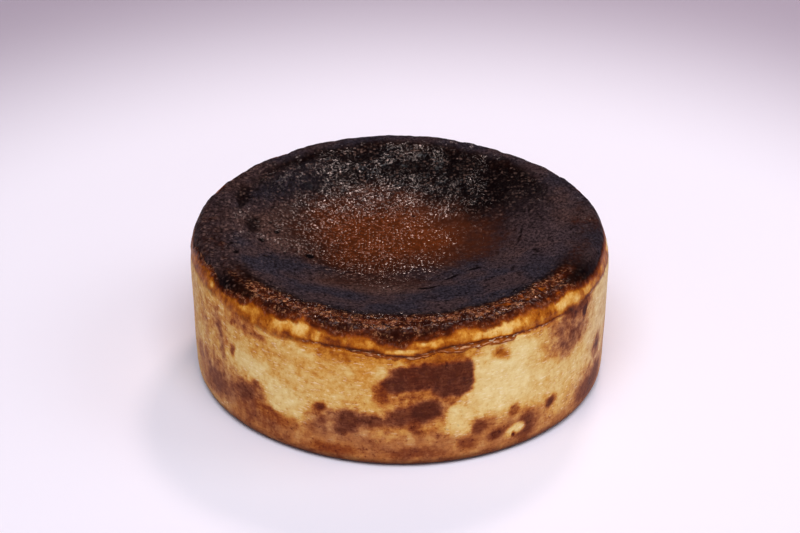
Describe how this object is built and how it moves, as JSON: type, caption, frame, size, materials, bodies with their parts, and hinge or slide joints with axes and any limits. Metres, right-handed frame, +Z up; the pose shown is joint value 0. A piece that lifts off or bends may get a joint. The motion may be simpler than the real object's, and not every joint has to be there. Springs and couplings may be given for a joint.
{
  "type": "basque cheesecake",
  "caption": "Whole round burnt-top cheesecake with straight sides, a fold under the rim and a top that has sunk into a shallow dish.",
  "frame": {"origin": "on the table, under the middle of the cake", "axes": "+Z up; -Y towards the side that the picture shows; +X to the right seen from that side"},
  "size_m": [0.1504, 0.1496, 0.0556],
  "materials": {
    "cheesecake": "baked custard: a mottled cream and amber side, half glossy, under a scorched black-brown top with a reddish middle"
  },
  "bodies": {
    "root": {"cheesecake": "cheesecake"}
  },
  "joints": []
}
